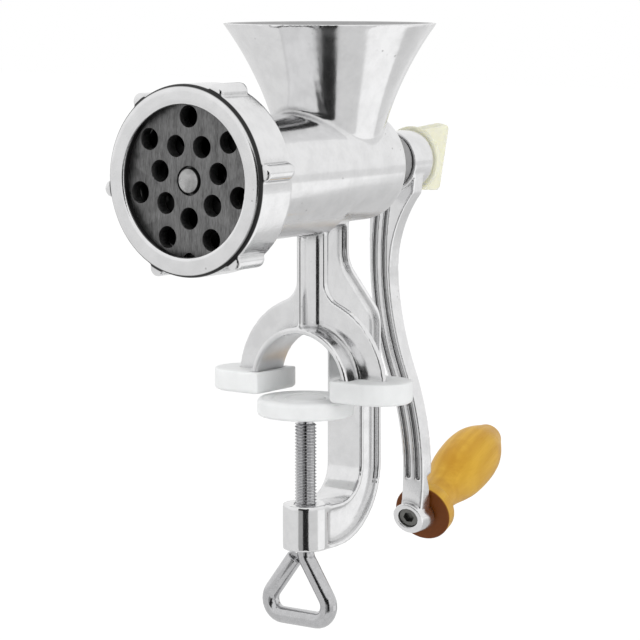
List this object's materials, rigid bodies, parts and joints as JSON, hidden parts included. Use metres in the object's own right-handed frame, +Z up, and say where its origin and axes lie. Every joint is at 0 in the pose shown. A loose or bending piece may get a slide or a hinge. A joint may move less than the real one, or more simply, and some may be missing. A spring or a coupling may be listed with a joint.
{
  "type": "hand crank meat grinder",
  "caption": "Cast hand crank grinder with a flared hopper, a drilled plate held by a lugged ring, a table clamp with a loop-handled screw, and a crank with a wooden grip.",
  "frame": {"origin": "where the clamp screw's axis meets the table plane, which is the underside of the two foot pads", "axes": "+Z up, -Y towards the grinding plate's open face, +Y towards the crank, +X to the right seen from the plate's side"},
  "size_m": [0.104, 0.2486, 0.2744],
  "materials": {
    "cast_aluminium": "polished casting",
    "ring_aluminium": "polished casting with machined faces",
    "inner_aluminium": "satin as cast",
    "crank_aluminium": "polished casting",
    "dark_steel": "dark brushed",
    "ground_steel": "ground",
    "zinc_steel": "zinc plated",
    "screw_steel": "bright zinc plated",
    "nylon": "natural",
    "white_plastic": "translucent white, moulded",
    "cap_plastic": "white, moulded",
    "ivory_plastic": "translucent ivory, moulded",
    "turned_wood": "turned and varnished"
  },
  "bodies": {
    "housing": {"body_casting": "cast_aluminium", "plate_key_pin": "zinc_steel", "rear_bushing": "nylon", "thrust_washer": "nylon", "foot_pad_left": "white_plastic", "foot_pad_right": "white_plastic"},
    "crankshaft": {"auger": "inner_aluminium", "nose_pin": "ground_steel", "cutting_knife": "ground_steel", "crank_arm": "crank_aluminium", "handle_bolt": "zinc_steel", "handle_sleeve_nut": "zinc_steel", "handle_washer": "zinc_steel"},
    "grip": {"handle_grip": "turned_wood"},
    "wing_washer": {"crank_washer": "zinc_steel"},
    "wing_screw": {"wing_screw_knob": "ivory_plastic", "wing_screw_stud": "zinc_steel"},
    "plate": {"grinding_plate": "dark_steel"},
    "ring_nut": {"retaining_ring": "ring_aluminium"},
    "pressure_pad": {"pressure_disc": "zinc_steel", "pressure_cap": "cap_plastic"},
    "screw": {"clamp_screw": "screw_steel"}
  },
  "joints": [
    {"name": "crank_turn", "type": "hinge", "parent": "housing", "child": "crankshaft", "pos_m": [0, 0, 0.103], "axis": [0, 1, 0], "continuous": true},
    {"name": "grip_spin", "type": "hinge", "parent": "crankshaft", "child": "grip", "pos_m": [0.0105, 0.079, -0.066], "axis": [-0.1406, 0.9406, 0.309], "continuous": true},
    {"name": "wing_travel", "type": "slide", "parent": "crankshaft", "child": "wing_washer", "axis": [0, 1, 0], "range_m": [0, 0.0135]},
    {"name": "wing_turn", "type": "hinge", "parent": "wing_washer", "child": "wing_screw", "pos_m": [0, 0.09, 0.103], "axis": [0, 1, 0], "range_deg": [0, 3889]},
    {"name": "ring_travel", "type": "slide", "parent": "housing", "child": "plate", "axis": [0, -1, 0], "range_m": [0, 0.0155]},
    {"name": "ring_turn", "type": "hinge", "parent": "plate", "child": "ring_nut", "pos_m": [0, -0.08, 0.103], "axis": [0, -1, 0], "range_deg": [0, 2233]},
    {"name": "clamp_travel", "type": "slide", "parent": "housing", "child": "pressure_pad", "axis": [0, 0, -1], "range_m": [0, 0.038]},
    {"name": "clamp_turn", "type": "hinge", "parent": "pressure_pad", "child": "screw", "pos_m": [0, 0, -0.03], "axis": [0, 0, -1], "range_deg": [0, 9121]}
  ],
  "couplings": [
    {"joint": "wing_turn", "follows": "wing_travel", "rad_per_m": 5026.5},
    {"joint": "ring_turn", "follows": "ring_travel", "rad_per_m": 2513.3},
    {"joint": "clamp_turn", "follows": "clamp_travel", "rad_per_m": 4188.8}
  ]
}
